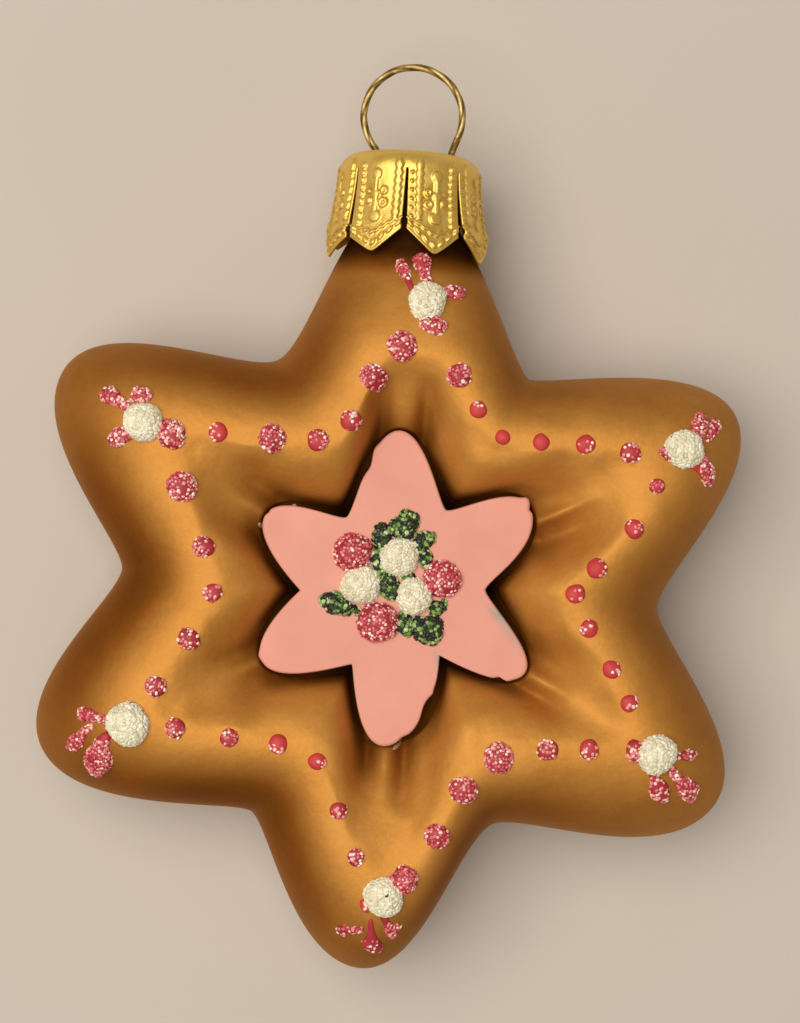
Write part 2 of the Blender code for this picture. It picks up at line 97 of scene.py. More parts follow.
# The valley that runs out along each arm: where it starts, its direction in degrees, the half
# width and rise of the rib in its middle, then the depth, half width and length of the groove
# on its anticlockwise and its clockwise side.
VALLEYS = (
    (15.4, 8.4, 26, 0.6, 1.1, (0.9, 1.4, 6.0), (2.6, 1.9, 9.0)),
    (0.45, 17.2, 90, 1.4, 0.5, (2.6, 1.0, 6.0), (2.6, 1.0, 6.5)),
    (-13.8, 7.5, 150, 1.0, 0.8, (1.4, 1.5, 5.5), (2.0, 1.5, 6.5)),
    (-13.3, -8.2, 208, 0.8, 0.5, (1.3, 1.5, 5.0), (1.1, 1.0, 6.0)),
    (0.5, -16.4, 270, 1.05, 0.4, (2.4, 1.0, 7.5), (2.4, 1.1, 6.0)),
    (15.4, -7.9, 335, 0.8, 0.9, (1.8, 1.8, 6.5), (1.8, 1.1, 6.5)),
)

# The lumps of the blown glass.
LUMP_LENGTH = 3.5 * MM
LUMP_HEIGHT = 0.3 * MM

# The upper arm narrows to the neck, which the cap covers. The cap's shadow is painted on the neck
# and on the arm's end beneath the cap.
NECK_TAPER_Y = (25.0 * MM, 38.0 * MM)
NECK_TAPER = 0.29
NECK_SHADE_Y = (33.5 * MM, 36.8 * MM)
NECK_RADIUS = 5.9 * MM
NECK_Y = (33.0 * MM, 44.6 * MM)
NECK_SHADE = 0.95

# Dots along the crest: place along the loop, counted in knots, diameter with the glitter, and
# the share of the dot that glitter covers.
CREST_DOTS = (
    (0.20, 2.3, 0.35), (0.45, 2.1, 0.15), (0.68, 1.8, 0), (0.94, 1.6, 0),
    (1.29, 1.9, 0.15), (1.57, 2.7, 0.68), (2.10, 3.3, 0.92), (2.43, 3.0, 0.92),
    (2.77, 2.3, 0.35), (3.08, 2.4, 0.35), (3.35, 3.1, 0.92), (3.65, 2.1, 0.2),
    (4.38, 3.4, 1), (4.75, 2.4, 0.55), (5.07, 2.1, 0.46), (5.41, 2.5, 0.5),
    (5.77, 2.4, 0.68), (6.23, 2.3, 0.59), (6.54, 2.1, 0.5), (6.80, 2.1, 0.18),
    (7.11, 1.9, 0.18), (7.45, 1.9, 0.41), (7.75, 2.0, 0.55), (8.18, 2.4, 0.85),
    (8.51, 2.8, 0.77), (8.80, 3.1, 0.92), (9.12, 3.4, 0.92), (9.40, 2.4, 0.5),
    (9.62, 2.2, 0.28), (10.32, 1.9, 0.2), (10.50, 2.0, 0.15), (10.72, 2.0, 0.18),
    (11.04, 2.1, 0.09), (11.30, 2.2, 0.15), (11.58, 2.1, 0.18), (11.87, 1.8, 0.5),
)
# A flower on each arm: place and diameter of its middle, then its petals, which are drops. Each
# has its tail and its tip, seen from the flower's middle, its width, the share of its length
# that is its fat end, its width at the tail as a share of its full width, the share of its
# length from the tail that is bare, and the share of the rest that glitter covers.
FLOWERS = (
    (30.1, 16.9, 3.8, (
        ((1.7, 1.0), (1.7, 4.0), 1.8, 0.85, 0.5, 0, 0.9),
        ((2.6, 1.0), (3.8, 3.5), 1.3, 0.7, 0.4, 0, 0.75),
        ((0.9, -1.5), (2.7, -2.4), 0.9, 0.6, 0.8, 0.9, 0.1),
        ((2.2, -0.7), (3.1, -3.5), 1.7, 0.9, 0.5, 0, 0.9),
        ((0.0, -0.2), (-2.5, -0.5), 1.6, 0.8, 0.5, 0, 0.9))),
    (2.2, 31.0, 3.8, (
        ((-1.5, 0.9), (-3.2, 4.5), 1.3, 0.5, 0.45, 0.4, 0.95),
        ((0.0, 1.7), (-1.0, 5.35), 1.9, 0.5, 0.5, 0, 0.95),
        ((1.5, 1.3), (3.9, 1.3), 1.6, 0.85, 0.5, 0, 0.95),
        ((-0.5, -2.3), (2.1, -2.8), 1.9, 1, 0, 0, 0.9))),
    (-26.9, 16.5, 3.9, (
        ((-1.6, 1.5), (-4.8, 3.1), 1.9, 0.65, 0.5, 0, 0.9),
        ((-1.6, 3.0), (0.6, 2.7), 1.7, 1, 0, 0, 0.9),
        ((-1.4, -1.1), (-3.6, -2.2), 2.0, 1, 0, 0, 0.9),
        ((1.6, -0.3), (4.4, -1.8), 3.0, 1, 0, 0, 0.6))),
    (-26.7, -15.3, 4.3, (
        ((-1.6, 0.1), (-5.6, 0.8), 1.4, 0.5, 0.6, 0, 0.85),
        ((-4.0, -0.3), (-6.5, -3.5), 1.5, 0.6, 0.5, 0, 0.95),
        ((-2.6, -1.2), (-3.4, -5.8), 3.0, 0.75, 0.5, 0.15, 0.85))),
    (1.2, -31.9, 3.9, (
        ((-2.0, -3.8), (-4.6, -4.3), 1.2, 0.5, 0.55, 0, 0.85),
        ((-1.2, -2.5), (-0.9, -6.3), 2.2, 0.4, 0.25, 0.6, 0.5),
        ((0.0, -1.8), (1.3, -4.7), 0.9, 0.5, 0.9, 0.4, 1.0),
        ((0.7, -3.9), (1.9, -3.1), 0.7, 0.6, 0.8, 0.2, 1.0),
        ((0.8, 0.5), (3.1, 2.9), 2.6, 1, 0, 0, 0.85),
        ((-1.0, -0.7), (-2.4, -1.4), 1.5, 1, 0, 0, 0.1))),
    (29.0, -15.3, 3.9, (
        ((1.6, -0.3), (4.5, 0.1), 1.2, 0.6, 0.45, 0, 0.7),
        ((1.3, -1.3), (4.9, -4.7), 2.0, 0.6, 0.4, 0, 0.9),
        ((-0.2, -1.8), (1.2, -5.1), 2.1, 0.8, 0.5, 0, 0.45),
        ((-1.0, 0.1), (-3.3, 0.4), 2.2, 1, 0, 0, 0.35))),
)
# Dark specks on the flowers' middles: which flower, direction in degrees and how far out.
SPECKS = (
    (0, 145, 0.97), (0, 150, 0.9), (0, 245, 0.5), (3, 80, 0.98), (3, 62, 0.95), (3, 44, 0.98),
    (3, 350, 0.97), (4, 62, 0.35), (4, 125, 0.96), (5, 238, 0.6), (5, 95, 0.97),
)
# The posy in the middle of the icing: balls as place and diameter, leaves as place, length,
# width and direction in degrees.
RED_BALLS = ((-4.2, 4.0, 4.15), (5.5, 1.7, 4.05), (-1.1, -3.3, 4.35))
WHITE_BALLS = ((0.8, 3.8, 4.0), (-3.1, 0.6, 4.0), (2.6, -0.3, 3.7))
LEAVES = (
    (1.2, 7.3, 3.3, 2.7, 80), (-1.1, 5.9, 2.6, 2.2, 110), (3.2, 5.5, 2.8, 2.0, 70),
    (3.6, 3.8, 1.9, 1.5, 90), (-5.7, -1.6, 3.4, 2.3, 165), (-1.5, 3.3, 3.2, 1.6, 115),
    (-0.1, 0.6, 3.4, 2.0, 112), (1.9, 1.75, 1.6, 0.7, 15), (-3.4, -2.15, 0.9, 0.8, 60),
    (5.2, -1.4, 2.1, 1.4, 20), (4.3, -3.8, 3.6, 2.9, 310), (1.8, -3.3, 2.5, 1.8, 95),
)
# The pink icing's edge: place along its loop and how far it bulges or is nicked, with the half
# width of that in knots. Then where its edge is painted grey: place, how grey and half width.
EDGE_NICKS = (
    (0.15, 0.35, 0.05), (0.04, -0.25, 0.03), (2.3, 0.15, 0.05), (2.44, -0.3, 0.07),
    (8.05, -0.2, 0.04), (8.36, -0.5, 0.12), (8.47, 0.15, 0.03), (9.72, -0.25, 0.04),
    (9.8, 0.12, 0.04), (5.93, 0.15, 0.05), (3.95, -0.12, 0.03),
)
GREY_EDGES = (
    (10.62, 1.2, 0.1), (10.42, 0.7, 0.15), (8.84, 0.8, 0.16), (1.02, 0.3, 0.05), (7.15, 0.3, 0.1),
)
# Thin paint flakes beside the icing: place, length, width and direction in degrees.
FLAKES = ((1.8, -16.4, 1.3, 0.6, 60), (-14.2, 6.3, 0.9, 0.6, 100), (-10.9, 8.6, 0.7, 0.4, 20))
FLAKE_RISE = 0.1
# How much the glitter adds to the diameter of a dot that it covers all over.
DOT_GLITTER = 0.3
# The share of the posy's red balls and of its leaves that glitter covers.
RED_COVER = 0.75
LEAF_COVER = 0.97
# How high the dabs rise, as a share of their width.
DOT_RISE = 0.27
BALL_RISE = 0.42
LEAF_RISE = 0.36
# How far the grains of glitter lean from the surface, and how thick they are for their width.
GRAIN_TILT = 0.3
GRAIN_FLATNESS = 0.65
# Each kind of dab, from dots and petals through red and white balls to leaves and flakes: sides
# and rows of its mesh, the pitch of its grains and how uneven it is.
DAB_KINDS = (
    (28, 13, 0.34 * MM, 0.06), (28, 13, 0.29 * MM, 0.14), (40, 19, 0.36 * MM, 0.05),
    (40, 19, 0.36 * MM, 0.07), (28, 13, 0.36 * MM, 0.25), (12, 7, 0.4 * MM, 0.3),
)
# The least and the greatest width of the grains of glitter.
PINK_GRAINS = (0.33 * MM, 0.52 * MM)
WHITE_GRAINS = (0.46 * MM, 0.74 * MM)
GREEN_GRAINS = (0.42 * MM, 0.66 * MM)

# The crown cap: eight tabs hang from its pressed top.
TAB_COUNT = 8
CAP_X = -0.45 * MM
CAP_TOP_Y = 47.6 * MM
CAP_TOP_RADIUS = 5.7 * MM
CAP_SHOULDER = 2.0 * MM
CAP_SLIT_Y = 45.5 * MM
# How far up the mouth of each slit is, from the front one on. Then each tab's tip: the share
# of its width it stands at, how far up it is and how far out it flares.
CAP_MOUTHS_Y = (38.9, 38.4, 38.3, 38.5, 38.5, 38.8, 38.6, 37.9)
CAP_TIPS = (
    (0.53, 36.4, 0.9), (0.5, 36.0, 1.3), (0.5, 36.6, 1.1), (0.5, 36.5, 0.9),
    (0.5, 36.5, 0.9), (0.5, 37.4, 0.9), (0.35, 36.0, 1.0), (0.47, 36.4, 0.9),
)
CAP_TIP_ROUNDING = 0.12
CAP_SHEET = 0.25 * MM
RELIEF_HEIGHT = 0.28 * MM
RELIEF_TOP = CAP_SLIT_Y + 1.1 * MM
SLIT_HALF_ANGLES = (0.8, 2.2)
CAP_TURN = -1.9
TAB_COLUMNS = 52
TAB_SHARES = np.linspace(0, 1, TAB_COLUMNS)
TAB_ROWS = 74
# The pattern pressed in a tab, in millimetres from its middle towards the front slit and down
# from the top of the ribs: beads as place and radius, curls as place, radius and half width,
# and round-ended bars as place, end and half width.
BEADS = (
    (-0.25, 1.9, 0.66), (-0.35, 4.0, 0.62), (-1.15, 3.75, 0.45), (-1.1, 4.75, 0.5),
    (-0.15, 6.45, 0.75),
)
CURLS = ((0.72, 3.7, 0.28, 0.27), (0.7, 5.0, 0.36, 0.3))
BARS = ((-0.3, 2.5, 3.5, 0.36), (-0.25, 4.4, 5.6, 0.42))
WIRE_RADIUS = 0.41 * MM
RING_RADIUS = 5.42 * MM
RING_Y = 52.1 * MM
RING_LEG_ANGLES = (48, 70)
RING_LEGS_X = (-3.65 * MM, 4.25 * MM)
RING_LEG_END_Y = 45.8 * MM
# The hanging wire is twisted: how many lobes its section has, how far apart the turns are and
# how deep the grooves are for its radius.
TWIST_LOBES = 3
TWIST_PITCH = 3.2 * MM
TWIST_DEPTH = 0.12

# The camera looks straight down and is turned a little.
CAMERA_HEIGHT = 280.0 * MM
CAMERA_ROLL = math.radians(3.3)
CAMERA_SHIFT = (1.1 * MM, 8.63 * MM)
VIEW_LENGTH = 112.5 * MM
SENSOR = 36.0

# Floor and light: one soft lamp and an even glow all round.
FLOOR_HALF_SIDE = 1.5
KEY_PLACE = (-0.22, 0.05, 0.84)
KEY_SIZE = 0.85
KEY_POWER = 8.4
KEY_COLOR = (1.0, 0.95, 0.87)
WORLD_COLOR = (1.0, 0.94, 0.87, 1)
WORLD_STRENGTH = 0.22


# ---- shared geometry


def smooth(value, start, end):
    """A soft step from 0 at start to 1 at end."""
    share = np.clip((value - start) / (end - start), 0, 1)
    return share * share * (3 - 2 * share)


def normalized(vectors):
    return vectors / np.linalg.norm(vectors, axis=-1, keepdims=True)


def knot_frame(knot):
    """The knot's point, and its tangent scaled to the handle length, in metres."""
    angle, radius, handle, turn = knot
    around = math.radians(angle)
    along = math.radians(angle + 90 + turn)
    point = np.array((math.cos(around), math.sin(around))) * radius * MM
    tangent = np.array((math.cos(along), math.sin(along))) * handle * MM
    return point, tangent


def bezier(start, leaving, arriving, end, t):
    """Points of cubic curves, from their ends and the handle points beside them."""
    return (
        start * (1 - t) ** 3
        + leaving * 3 * (1 - t) ** 2 * t
        + arriving * 3 * (1 - t) * t**2
        + end * t**3
    )


def loop_points(knots, places):
    """Points of the closed Bezier loop at these places, counted in knots."""
    frames = np.array([knot_frame(knot) for knot in knots])
    points, tangents = frames[:, 0], frames[:, 1]
    places = np.asarray(places, float)
    index = np.floor(places).astype(int) % len(knots)
    following = (index + 1) % len(knots)
    t = (places - np.floor(places))[:, None]
    start, end = points[index], points[following]
    return bezier(start, start + tangents[index], end - tangents[following], end, t)


def widened(knots):
    """The foot of the recess wall: a softer loop just outside the icing."""
    return [
        (angle, radius + FOOT_MARGINS[index % 2], handle + FOOT_HANDLE, turn / 2)
        for index, (angle, radius, handle, turn) in enumerate(knots)
    ]


def grid_faces(rows, columns):
    """Quads of a tube whose points are stored ring by ring."""
    column = np.arange(columns)
    following = (column + 1) % columns
    row = np.arange(rows - 1)[:, None] * columns
    corners = (row + column, row + following, row + columns + following, row + columns + column)
    return np.stack(corners, axis=-1).reshape(-1, 4)


def fan(middle, ring):
    """Triangles from one point to every edge of a ring."""
    return [(middle, ring[i], ring[i - 1]) for i in range(len(ring))]


def closed_tube(rings, start, end):
    """The points and faces of a tube of rings that a fan round a point closes at each end."""
    count, columns = sum(map(len, rings)), len(rings[0])
    faces = grid_faces(len(rings), columns).tolist()
    faces += fan(count, range(columns))
    faces += fan(count + 1, range(count - columns, count)[::-1])
    return np.concatenate([*rings, [start, end]]), faces


def full_turn(sides):
    return np.arange(sides) / sides * 2 * math.pi


def new_object(name, data):
    made = bpy.data.objects.new(name, data)
    bpy.context.scene.collection.objects.link(made)
    return made


def new_piece(name, points, faces, material, shades, smooth_shading=True):
    """A mesh piece on the one body. Each of its points keeps its own shade."""
    mesh = bpy.data.meshes.new(name)
    mesh.from_pydata(points.tolist(), [], faces)
    layer = mesh.attributes.new("shade", "FLOAT", "POINT")
    layer.data.foreach_set("value", shades.astype(np.float32))
    mesh.validate()
    if smooth_shading:
        mesh.shade_smooth()
    mesh.materials.append(material)
    piece = new_object(name, mesh)
    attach(piece, "root")
    return piece


# ---- materials


def new_material(name, **sockets):
    """A material whose Principled BSDF takes these values, and its node tree."""
    material = bpy.data.materials.new(name)
    material.use_nodes = True
    shader = material.node_tree.nodes["Principled BSDF"]
    for socket, value in sockets.items():
        shader.inputs[socket.replace("_", " ")].default_value = value
    return material, material.node_tree


def node(tree, kind, **settings):
    """A node with these inputs or settings."""
    made = tree.nodes.new(kind)
    for name, value in settings.items():
        if name in made.inputs:
            made.inputs[name].default_value = value
        else:
            setattr(made, name, value)
    return made


def noise_factor(tree, scale, detail=2.0, roughness=0.5):
    """A noise of this many spots a metre, seen in the piece's own space."""
    texture = node(tree, "ShaderNodeTexNoise", Scale=scale, Detail=detail, Roughness=roughness)
    place = node(tree, "ShaderNodeTexCoord").outputs["Object"]
    tree.links.new(place, texture.inputs["Vector"])
    return texture.outputs["Fac"]


def ramp(tree, factor, stops):
    """A colour ramp through (place, (red, green, blue)) stops."""
    made = node(tree, "ShaderNodeValToRGB")
    elements = made.color_ramp.elements
    elements.remove(elements[1])
    elements[0].position = stops[0][0]
    elements[0].color = (*stops[0][1], 1)
    for place, color in stops[1:]:
        elements.new(place).color = (*color, 1)
    tree.links.new(factor, made.inputs["Fac"])
    return made.outputs["Color"]


def cloudy(tree, cloud, low, high):
    """A colour that goes from low to high with the cloud."""
    return ramp(tree, cloud, ((0.3, low), (0.7, high)))


def mixed(tree, factor, first, second, kind="MIX"):
    """Two colours mixed. A factor or a colour is a number, a tuple or another node's output."""
    mix = node(tree, "ShaderNodeMix", data_type="RGBA", blend_type=kind)
    for index, value in ((0, factor), (6, first), (7, second)):
        socket = mix.inputs[index]
        if isinstance(value, bpy.types.NodeSocket):
            tree.links.new(value, socket)
        elif isinstance(value, tuple):
            socket.default_value = (*value, 1)
        else:
            socket.default_value = value
    return mix.outputs[2]


def shade_of(tree):
    """The shade that each point of the piece holds."""
    return node(tree, "ShaderNodeAttribute", attribute_name="shade").outputs["Fac"]


def ranged(tree, value, low, high, to_low, to_high):
    """The value moved from the range low to high into the range to_low to to_high."""
    made = node(tree, "ShaderNodeMapRange")
    for index, number in enumerate((low, high, to_low, to_high), start=1):
        made.inputs[index].default_value = number
    tree.links.new(value, made.inputs[0])
    return made.outputs[0]


def feed(tree, socket, value):
    """Link a node's output to this socket of the material's Principled BSDF."""
    tree.links.new(value, tree.nodes["Principled BSDF"].inputs[socket])


def add_roughness(tree, cloud, low, high):
    """Roughness that goes from low to high with the cloud."""
    feed(tree, "Roughness", ranged(tree, cloud, 0.3, 0.7, low, high))


def add_bump(tree, distance, strength, *grain):
    """Bumps this high, as a noise whose scale, detail and roughness are the grain's."""
    bump = node(tree, "ShaderNodeBump", Strength=strength, Distance=distance)
    tree.links.new(noise_factor(tree, *grain), bump.inputs["Height"])
    feed(tree, "Normal", bump.outputs["Normal"])


def lacquer_material():
    """Satin gold-brown lacquer over silvered glass. Its shade goes from gold at 0 through brown at
    0.5, partly airbrushed paint and partly painted shade, to the painted shade of the deepest
    corners at 1."""
    material, tree = new_material(
        "gold_brown_lacquer", Metallic=0.4, Specular_Tint=(1.0, 0.64, 0.3, 1)
    )
    cloud = noise_factor(tree, 160, 4, 0.55)
    fine = noise_factor(tree, 1800, 3, 0.6)
    gold = cloudy(tree, cloud, (0.50, 0.215, 0.038), (0.62, 0.285, 0.06))
    brown = cloudy(tree, cloud, (0.225, 0.07, 0.008), (0.29, 0.093, 0.011))
    shade = shade_of(tree)
    light = mixed(tree, ranged(tree, shade, 0, 0.5, 0, 1), gold, brown)
    # Painted shade: near black in the deepest corners of the recess.
    color = mixed(tree, ranged(tree, shade, 0.5, 1, 0, 1), light, (0.025, 0.008, 0.002))
    speckle = ramp(tree, fine, ((0.35, (0.86, 0.86, 0.86)), (0.65, (1, 1, 1))))
    feed(tree, "Base Color", mixed(tree, 0.5, color, speckle, "MULTIPLY"))
    add_roughness(tree, cloud, 0.54, 0.62)
    feed(tree, "Specular IOR Level", ranged(tree, shade, 0.1, 0.7, 0.5, 0))
    add_bump(tree, 0.17 * MM, 0.7, 380, 4, 0.6)
    return material


def icing_material():
    """Matte salmon paint that goes grey where shade is 1: painted shade on its sides and round-over,
    and grey patches along its edge.
    """
    material, tree = new_material("salmon_paint", Roughness=0.62)
    cloud = noise_factor(tree, 220, 3)
    pink = cloudy(tree, cloud, (0.69, 0.285, 0.21), (0.735, 0.315, 0.235))
    feed(tree, "Base Color", mixed(tree, shade_of(tree), pink, (0.38, 0.3, 0.26)))
    add_bump(tree, 0.04 * MM, 0.5, 1400, 3)
    return material


def enamel_material():
    """Red enamel, deeper crimson where shade is 1: painted shade between the grains of glitter."""
    material, tree = new_material("red_enamel", Roughness=0.6)
    cloud = noise_factor(tree, 700, 3)
    plain = cloudy(tree, cloud, (0.52, 0.03, 0.032), (0.62, 0.045, 0.045))
    deep = cloudy(tree, cloud, (0.30, 0.012, 0.022), (0.46, 0.03, 0.045))
    feed(tree, "Base Color", mixed(tree, shade_of(tree), plain, deep))
    add_bump(tree, 0.04 * MM, 0.6, 1500, 2)
    return material


def grainy_material(name, low, high, height):
    """Rough icing that is mottled between two colours."""
    material, tree = new_material(name, Roughness=0.7)
    cloud = noise_factor(tree, 1800, 3)
    feed(tree, "Base Color", cloudy(tree, cloud, low, high))
    add_bump(tree, height, 0.8, 2600, 3)
    return material


def glitter_material(name, stops, roughness):
    """Faceted grains, each of one colour, which its shade picks from the stops."""
    material, tree = new_material(name, Roughness=roughness, Specular_IOR_Level=0.8)
    feed(tree, "Base Color", ramp(tree, shade_of(tree), stops))
    add_bump(tree, 0.02 * MM, 0.4, 6000, 1)
    return material


def brass_material():
    """Satin gilt sheet, with painted shade along the slopes of the pressed relief."""
    material, tree = new_material("gilt_sheet", Metallic=0.75)
    cloud = noise_factor(tree, 500, 4)
    gilt = cloudy(tree, cloud, (0.86, 0.55, 0.10), (0.95, 0.65, 0.17))
    feed(tree, "Base Color", mixed(tree, shade_of(tree), gilt, (0.26, 0.12, 0.02)))
    add_roughness(tree, cloud, 0.36, 0.48)
    add_bump(tree, 0.12 * MM, 0.7, 900, 4, 0.6)
    return material


def wire_material():
    """Dull brass with tarnished spots, and painted shade between the lobes of the twist."""
    material, tree = new_material("dull_brass_wire", Metallic=0.8)
    cloud = noise_factor(tree, 900, 4)
    brass = ramp(tree, cloud, (
        (0.36, (0.2, 0.12, 0.03)), (0.48, (0.5, 0.35, 0.11)), (0.7, (0.62, 0.47, 0.19))))
    feed(tree, "Base Color", mixed(tree, shade_of(tree), brass, (0.12, 0.065, 0.015)))
    add_roughness(tree, cloud, 0.6, 0.45)
    return material


# ---- glass body


def tapered(points):
    """The points with their height pulled towards the rim level where the arm meets the neck."""
    keep = 1 - NECK_TAPER * smooth(points[:, 1], *NECK_TAPER_Y)
    points[:, 2] = RIM_Z + (points[:, 2] - RIM_Z) * keep
    return points


def valley_relief(flat):
    """How far the ribs and grooves of the arms raise these points."""
    total = np.zeros(len(flat))
    for x, y, degrees, rib_width, rib_rise, *grooves in VALLEYS:
        turn = math.radians(degrees)
        offset = flat / MM - (x, y)
        out = offset @ (math.cos(turn), math.sin(turn))
        aside = offset @ (-math.sin(turn), math.cos(turn))
        starts = smooth(out, -3, 0)
        length = max(groove[2] for groove in grooves)
        fades = 1 - smooth(out, 0, length)
        total += rib_rise * starts * fades * np.exp(-((aside / rib_width) ** 2))
        for side, (depth, half_width, length) in zip((1, -1), grooves):
            across = (side * aside - rib_width - half_width) / half_width
            ends = 1 - smooth(out, 0.35 * length, length)
            total -= depth * starts * ends * np.exp(-(across**2))
    return total * MM


def lumps(flat):
    """The slight unevenness of blown glass."""
    return LUMP_HEIGHT * np.array([noise.noise((x, y, 0)) for x, y in flat / LUMP_LENGTH])


def painted_shade_lean(flat):
    """How strongly the brown and painted shade are laid on: more towards the lower left, less
    towards the upper right, where the lightening is painted light.
    """
    return 1 - flat @ PAINTED_SHADE_LEAN


def star_rings():
    """Rings of the glass from the flat of the back, round the rim and over the crest, to the
    floor of the recess, with the shade of each: 1 where it is darkest, from airbrushed brown and
    painted shade."""
    outline = loop_points(OUTLINE_KNOTS, PLACES)
    crest = loop_points(CREST_KNOTS, PLACES)
    foot = loop_points(widened(ICING_KNOTS), PLACES)
    in_arm = (0.5 + 0.5 * np.cos(math.pi * PLACES)) ** 1.5
    in_notch = (0.5 - 0.5 * np.cos(math.pi * PLACES)) ** 2
    rim_shade = RIM_SHADE * (1 - ARM_LIGHTENING * in_arm) * painted_shade_lean(outline)
    rings, shades = [], []
    for step in range(BACK_RINGS):
        turn = math.pi / 2 * (1 - step / BACK_RINGS)
        flat = outline * (BACK_FLAT_SHARE + (1 - BACK_FLAT_SHARE) * math.cos(turn))
        rings.append((flat, np.full(len(flat), RIM_Z * (1 - math.sin(turn)))))
        shades.append(BACK_SHADE + (rim_shade - BACK_SHADE) * smooth(step, 0, BACK_RINGS))
    for step in range(FLANK_RINGS):
        turn = math.pi / 2 * step / FLANK_RINGS
        flat = crest + (outline - crest) * math.cos(turn)
        rings.append((flat, np.full(len(flat), RIM_Z + (CREST_Z - RIM_Z) * math.sin(turn))))
        # The flanks: brown that is partly airbrushed and partly painted shade, darkest partway up
        # and lighter at the rim and the crest.
        up = step / FLANK_RINGS
        shade = FLANK_SHADE * (1 - smooth(up, 0.5, 0.97)) * (0.5 + 0.5 * smooth(up, 0, 0.5))
        shade = shade * (1 - ARM_LIGHTENING * in_arm) * painted_shade_lean(flat)
        # Painted shadow of the cap on the end of the upper arm.
        under_cap = smooth(flat[:, 1], *NECK_SHADE_Y)
        shades.append(shade + (NECK_SHADE - shade) * under_cap)
    whole_fall = 1 - math.sqrt(1 - NOTCH_ROUNDNESS**2)
    for step in range(WALL_RINGS + 1):
        share = step / WALL_RINGS
        flat = crest + (foot - crest) * share
        notch_fall = (1 - math.sqrt(1 - (NOTCH_ROUNDNESS * share) ** 2)) / whole_fall
        notch_level = CREST_Z - (CREST_Z - FLOOR_Z) * notch_fall
        arm_level = CREST_Z - (CREST_Z - FLOOR_Z - ARM_FOOT_RISE) * share**ARM_FALL_POWER
        level = notch_level + (arm_level - notch_level) * in_arm
        level += valley_relief(flat) * smooth(share, 0, 0.25)
        level += lumps(flat) * smooth(share, 0, 0.2) * smooth(1 - share, 0, 0.2)
        level = np.clip(level, FLOOR_Z, CREST_Z)
        rings.append((flat, level))
        # Painted shade in the recess: darker where the wall goes deeper, darkest at the foot in the
        # corners of the notches.
        depth = (CREST_Z - level) / (CREST_Z - FLOOR_Z)
        corner = CORNER_SHADE * smooth(share, 0.82, 1) * in_notch
        wall = WALL_SHADE * smooth(depth, 0.33, 0.88) * painted_shade_lean(flat)
        shades.append(1 - (1 - wall) * (1 - corner))
    # Painted shade on the ledge and the floor at the wall's foot, darkest in the notches.
    for level in (FLOOR_Z + FOOT_STEP * (rings[-1][1] - FLOOR_Z), np.full(len(foot), FLOOR_Z)):
        rings.append((foot * FOOT_INSET, level))
        shades.append(0.6 + 0.4 * in_notch)
    return [tapered(np.column_stack(ring)) for ring in rings], shades


def build_glass_body(material):
    """The glass star, and the tree of its faces that dabs are laid on."""
    rings, shades = star_rings()
    points, faces = closed_tube(rings, (0, 0, 0), (0, 0, FLOOR_Z))
    shades = np.concatenate([*shades, [BACK_SHADE, 1.0]])
    body = new_piece("glass_body", points, faces, material, shades)
    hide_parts("glass_star")
    return BVHTree.FromPolygons(points.tolist(), faces)


def build_neck(material):
    """The short glass neck, which the cap covers, painted dark all over as the cap's shadow."""
    turn = full_turn(96)
    x, z = CAP_X + NECK_RADIUS * np.sin(turn), RIM_Z + NECK_RADIUS * np.cos(turn)
    rings = [np.column_stack((x, np.full_like(x, y), z)) for y in np.linspace(*NECK_Y, 12)]
    points, faces = closed_tube(rings, *((CAP_X, y, RIM_Z) for y in NECK_Y))
    faces = [face[::-1] for face in faces]
    # Painted shadow of the cap.
    shades = np.full(len(points), NECK_SHADE)
    new_piece("glass_neck", points, faces, material, shades)


# ---- pink icing


def marks_along(marks):
    """The height of these marks all along the icing's loop. Each mark is a soft hump."""
    count = len(ICING_KNOTS)
    total = np.zeros(len(PLACES))
    for place, height, half_width in marks:
        distance = (PLACES - place + count / 2) % count - count / 2
        total += height * np.exp(-((distance / half_width) ** 2))
    return total


def icing_edge():
    """The icing's outline, with the small bulges and nicks of a hand-cut edge."""
    edge = loop_points(ICING_KNOTS, PLACES)
    along = normalized(np.roll(edge, -1, axis=0) - np.roll(edge, 1, axis=0))
    outward = np.column_stack((along[:, 1], -along[:, 0]))
    return edge + outward * marks_along(EDGE_NICKS)[:, None] * MM


def build_icing(material):
    """The pink star, and the tree of its faces that the posy is laid on."""
    edge = icing_edge()
    grey = marks_along(GREY_EDGES)
    low, side_top = FLOOR_Z + ICING_GAP, ICING_TOP_Z - ICING_ROUND_OVER
    rings, shades = [], []
    # Painted shade: the icing's sides are grey, and its round-over lightens towards the flat top.
    for up in (0, 0.5, 1):
        rings.append((edge * (ICING_FOOT + (1 - ICING_FOOT) * up), low + (side_top - low) * up))
        shades.append(np.full(len(edge), 0.6))
    for turn in np.radians(range(15, 91, 15)):
        inset = ICING_ROUND_OVER * (1 - math.cos(turn)) / ICING_RADIUS
        level = ICING_TOP_Z - ICING_ROUND_OVER * (1 - math.sin(turn))
        rings.append((edge * (1 - inset), level))
        shades.append(np.maximum(0.5 * (1 - math.sin(turn)), 0.8 * grey))
    for share in np.linspace(0.96, 0.05, 30):
        rings.append((edge * share, ICING_TOP_Z))
        shades.append(0.8 * grey * smooth(share, 0.85, 0.95))
    rings = [np.column_stack((flat, np.full(len(flat), level))) for flat, level in rings]
    points, faces = closed_tube(rings, (0, 0, low), (0, 0, ICING_TOP_Z))
    shades = np.concatenate([*shades, [0.6, 0.0]])
    icing = new_piece("pink_icing", points, faces, material, shades)
    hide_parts("pink_star")
    return BVHTree.FromPolygons(points.tolist(), faces)


# ---- dabs of icing


